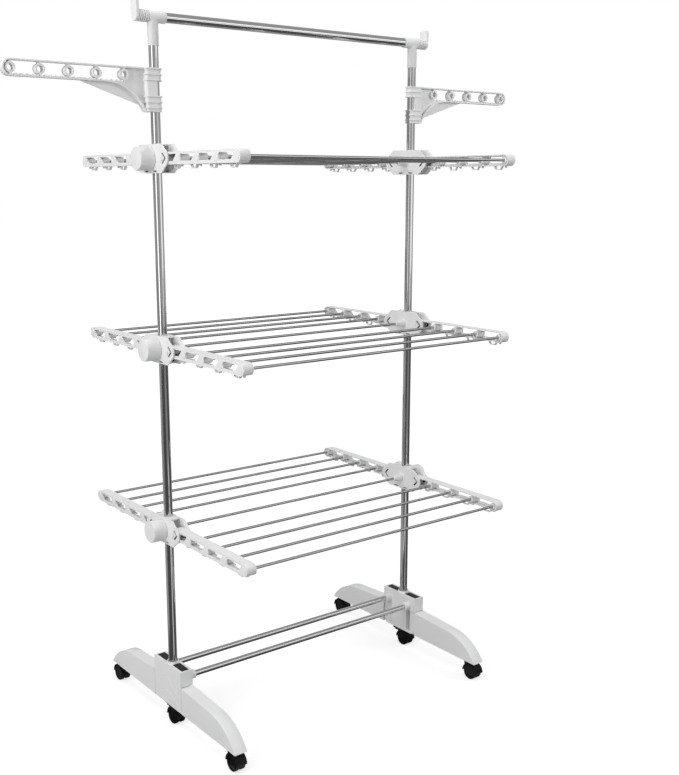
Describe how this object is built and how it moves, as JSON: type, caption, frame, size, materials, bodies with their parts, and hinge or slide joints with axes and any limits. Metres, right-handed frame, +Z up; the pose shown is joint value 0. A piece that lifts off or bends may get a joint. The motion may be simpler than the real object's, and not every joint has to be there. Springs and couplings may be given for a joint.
{
  "type": "clothes drying rack",
  "caption": "Folding clothes drying rack on castors: two steel posts under a hanging bar, tiers of rods on folding wings, and swivelling hanger arms with rings.",
  "frame": {"origin": "on the floor under the middle of the rack", "axes": "+X along the rods to the right-hand post, +Y across the rods to the rear, +Z up"},
  "size_m": [1.282, 0.642, 1.507],
  "materials": {
    "white_plastic": "moulded white plastic with a soft sheen",
    "steel_tube": "polished stainless steel tube",
    "steel_rod": "polished stainless steel rod",
    "steel_pin": "plain steel pin",
    "grey_plastic": "dark grey plastic",
    "black_plastic": "black moulded plastic",
    "black_wheel": "hard black plastic tread"
  },
  "bodies": {
    "frame": {"left_post": "steel_tube", "right_post": "steel_tube", "top_bar": "steel_tube", "left_tee": "white_plastic", "right_tee": "white_plastic", "stretchers": "steel_tube", "leg_pins": "steel_pin", "upper_hubs": "white_plastic", "middle_hubs": "white_plastic", "lower_hubs": "white_plastic", "hub_plates": "white_plastic", "centre_rods": "steel_rod", "wing_pins": "white_plastic", "left_base": "white_plastic", "right_base": "white_plastic", "left_base_cover": "white_plastic", "right_base_cover": "white_plastic"},
    "left_side_arm": {"left_side_arm": "white_plastic"},
    "right_side_arm": {"right_side_arm": "white_plastic"},
    "upper_front_wing": {"upper_front_arms": "white_plastic", "upper_front_rods": "steel_rod"},
    "upper_rear_wing": {"upper_rear_arms": "white_plastic", "upper_rear_rods": "steel_rod"},
    "middle_front_wing": {"middle_front_arms": "white_plastic", "middle_front_rods": "steel_rod"},
    "middle_rear_wing": {"middle_rear_arms": "white_plastic", "middle_rear_rods": "steel_rod"},
    "lower_front_wing": {"lower_front_arms": "white_plastic", "lower_front_rods": "steel_rod"},
    "lower_rear_wing": {"lower_rear_arms": "white_plastic", "lower_rear_rods": "steel_rod"},
    "front_left_leg": {"front_left_leg": "white_plastic"},
    "rear_left_leg": {"rear_left_leg": "white_plastic"},
    "front_right_leg": {"front_right_leg": "white_plastic"},
    "rear_right_leg": {"rear_right_leg": "white_plastic"},
    "front_left_button": {"front_left_button": "grey_plastic"},
    "rear_left_button": {"rear_left_button": "grey_plastic"},
    "front_right_button": {"front_right_button": "grey_plastic"},
    "rear_right_button": {"rear_right_button": "grey_plastic"},
    "upper_left_knob": {"upper_left_knob": "white_plastic"},
    "upper_right_knob": {"upper_right_knob": "white_plastic"},
    "middle_left_knob": {"middle_left_knob": "white_plastic"},
    "middle_right_knob": {"middle_right_knob": "white_plastic"},
    "lower_left_knob": {"lower_left_knob": "white_plastic"},
    "lower_right_knob": {"lower_right_knob": "white_plastic"},
    "front_left_castor": {"front_left_castor": "black_plastic"},
    "front_left_wheels": {"front_left_wheels": "black_wheel"},
    "middle_left_castor": {"middle_left_castor": "black_plastic"},
    "middle_left_wheels": {"middle_left_wheels": "black_wheel"},
    "rear_left_castor": {"rear_left_castor": "black_plastic"},
    "rear_left_wheels": {"rear_left_wheels": "black_wheel"},
    "front_right_castor": {"front_right_castor": "black_plastic"},
    "front_right_wheels": {"front_right_wheels": "black_wheel"},
    "middle_right_castor": {"middle_right_castor": "black_plastic"},
    "middle_right_wheels": {"middle_right_wheels": "black_wheel"},
    "rear_right_castor": {"rear_right_castor": "black_plastic"},
    "rear_right_wheels": {"rear_right_wheels": "black_wheel"},
    "left_brake_lever": {"left_brake_lever": "black_plastic"},
    "right_brake_lever": {"right_brake_lever": "black_plastic"}
  },
  "joints": [
    {"name": "left_side_arm_swing", "type": "hinge", "parent": "frame", "child": "left_side_arm", "pos_m": [-0.335, 0, 1.366], "axis": [0, 0, 1], "range_deg": [0, 180]},
    {"name": "right_side_arm_swing", "type": "hinge", "parent": "frame", "child": "right_side_arm", "pos_m": [0.335, 0, 1.366], "axis": [0, 0, -1], "range_deg": [0, 180]},
    {"name": "upper_front_wing_fold", "type": "hinge", "parent": "frame", "child": "upper_front_wing", "pos_m": [0, -0.043, 1.21], "axis": [1, 0, 0], "range_deg": [0, 90]},
    {"name": "upper_rear_wing_fold", "type": "hinge", "parent": "frame", "child": "upper_rear_wing", "pos_m": [0, 0.043, 1.21], "axis": [-1, 0, 0], "range_deg": [0, 90]},
    {"name": "middle_front_wing_fold", "type": "hinge", "parent": "frame", "child": "middle_front_wing", "pos_m": [0, -0.043, 0.831], "axis": [1, 0, 0], "range_deg": [0, 90]},
    {"name": "middle_rear_wing_fold", "type": "hinge", "parent": "frame", "child": "middle_rear_wing", "pos_m": [0, 0.043, 0.831], "axis": [-1, 0, 0], "range_deg": [0, 90]},
    {"name": "lower_front_wing_fold", "type": "hinge", "parent": "frame", "child": "lower_front_wing", "pos_m": [0, -0.043, 0.445], "axis": [1, 0, 0], "range_deg": [0, 90]},
    {"name": "lower_rear_wing_fold", "type": "hinge", "parent": "frame", "child": "lower_rear_wing", "pos_m": [0, 0.043, 0.445], "axis": [-1, 0, 0], "range_deg": [0, 90]},
    {"name": "front_left_leg_fold", "type": "hinge", "parent": "frame", "child": "front_left_leg", "pos_m": [-0.335, -0.043, 0.073], "axis": [0, 0, 1], "range_deg": [0, 90]},
    {"name": "rear_left_leg_fold", "type": "hinge", "parent": "frame", "child": "rear_left_leg", "pos_m": [-0.335, 0.043, 0.073], "axis": [0, 0, -1], "range_deg": [0, 90]},
    {"name": "front_right_leg_fold", "type": "hinge", "parent": "frame", "child": "front_right_leg", "pos_m": [0.335, -0.043, 0.073], "axis": [0, 0, -1], "range_deg": [0, 90]},
    {"name": "rear_right_leg_fold", "type": "hinge", "parent": "frame", "child": "rear_right_leg", "pos_m": [0.335, 0.043, 0.073], "axis": [0, 0, 1], "range_deg": [0, 90]},
    {"name": "front_left_button_press", "type": "slide", "parent": "frame", "child": "front_left_button", "axis": [0, 0, -1], "range_m": [0, 0.004], "stiffness_N_per_m": 400},
    {"name": "rear_left_button_press", "type": "slide", "parent": "frame", "child": "rear_left_button", "axis": [0, 0, -1], "range_m": [0, 0.004], "stiffness_N_per_m": 400},
    {"name": "front_right_button_press", "type": "slide", "parent": "frame", "child": "front_right_button", "axis": [0, 0, -1], "range_m": [0, 0.004], "stiffness_N_per_m": 400},
    {"name": "rear_right_button_press", "type": "slide", "parent": "frame", "child": "rear_right_button", "axis": [0, 0, -1], "range_m": [0, 0.004], "stiffness_N_per_m": 400},
    {"name": "upper_left_knob_turn", "type": "hinge", "parent": "frame", "child": "upper_left_knob", "pos_m": [-0.335, 0, 1.21], "axis": [-1, 0, 0], "range_deg": [0, 360]},
    {"name": "upper_right_knob_turn", "type": "hinge", "parent": "frame", "child": "upper_right_knob", "pos_m": [0.335, 0, 1.21], "axis": [1, 0, 0], "range_deg": [0, 360]},
    {"name": "middle_left_knob_turn", "type": "hinge", "parent": "frame", "child": "middle_left_knob", "pos_m": [-0.335, 0, 0.831], "axis": [-1, 0, 0], "range_deg": [0, 360]},
    {"name": "middle_right_knob_turn", "type": "hinge", "parent": "frame", "child": "middle_right_knob", "pos_m": [0.335, 0, 0.831], "axis": [1, 0, 0], "range_deg": [0, 360]},
    {"name": "lower_left_knob_turn", "type": "hinge", "parent": "frame", "child": "lower_left_knob", "pos_m": [-0.335, 0, 0.445], "axis": [-1, 0, 0], "range_deg": [0, 360]},
    {"name": "lower_right_knob_turn", "type": "hinge", "parent": "frame", "child": "lower_right_knob", "pos_m": [0.335, 0, 0.445], "axis": [1, 0, 0], "range_deg": [0, 360]},
    {"name": "front_left_castor_swivel", "type": "hinge", "parent": "front_left_leg", "child": "front_left_castor", "pos_m": [-0.335, -0.242, 0.0427], "axis": [0, 0, 1], "continuous": true},
    {"name": "front_left_wheels_roll", "type": "hinge", "parent": "front_left_castor", "child": "front_left_wheels", "pos_m": [-0.335, -0.252, 0.0175], "axis": [1, 0, 0], "continuous": true},
    {"name": "middle_left_castor_swivel", "type": "hinge", "parent": "frame", "child": "middle_left_castor", "pos_m": [-0.335, 0, 0.0427], "axis": [0, 0, 1], "continuous": true},
    {"name": "middle_left_wheels_roll", "type": "hinge", "parent": "middle_left_castor", "child": "middle_left_wheels", "pos_m": [-0.335, -0.01, 0.0175], "axis": [1, 0, 0], "continuous": true},
    {"name": "rear_left_castor_swivel", "type": "hinge", "parent": "rear_left_leg", "child": "rear_left_castor", "pos_m": [-0.335, 0.242, 0.0427], "axis": [0, 0, 1], "continuous": true},
    {"name": "rear_left_wheels_roll", "type": "hinge", "parent": "rear_left_castor", "child": "rear_left_wheels", "pos_m": [-0.335, 0.252, 0.0175], "axis": [1, 0, 0], "continuous": true},
    {"name": "front_right_castor_swivel", "type": "hinge", "parent": "front_right_leg", "child": "front_right_castor", "pos_m": [0.335, -0.242, 0.0427], "axis": [0, 0, 1], "continuous": true},
    {"name": "front_right_wheels_roll", "type": "hinge", "parent": "front_right_castor", "child": "front_right_wheels", "pos_m": [0.335, -0.252, 0.0175], "axis": [1, 0, 0], "continuous": true},
    {"name": "middle_right_castor_swivel", "type": "hinge", "parent": "frame", "child": "middle_right_castor", "pos_m": [0.335, 0, 0.0427], "axis": [0, 0, 1], "continuous": true},
    {"name": "middle_right_wheels_roll", "type": "hinge", "parent": "middle_right_castor", "child": "middle_right_wheels", "pos_m": [0.335, -0.01, 0.0175], "axis": [1, 0, 0], "continuous": true},
    {"name": "rear_right_castor_swivel", "type": "hinge", "parent": "rear_right_leg", "child": "rear_right_castor", "pos_m": [0.335, 0.242, 0.0427], "axis": [0, 0, 1], "continuous": true},
    {"name": "rear_right_wheels_roll", "type": "hinge", "parent": "rear_right_castor", "child": "rear_right_wheels", "pos_m": [0.335, 0.252, 0.0175], "axis": [1, 0, 0], "continuous": true},
    {"name": "left_brake_lever_press", "type": "hinge", "parent": "middle_left_castor", "child": "left_brake_lever", "pos_m": [-0.335, 0.014, 0.0337], "axis": [-1, 0, 0], "range_deg": [0, 12]},
    {"name": "right_brake_lever_press", "type": "hinge", "parent": "middle_right_castor", "child": "right_brake_lever", "pos_m": [0.335, 0.014, 0.0337], "axis": [-1, 0, 0], "range_deg": [0, 12]}
  ]
}
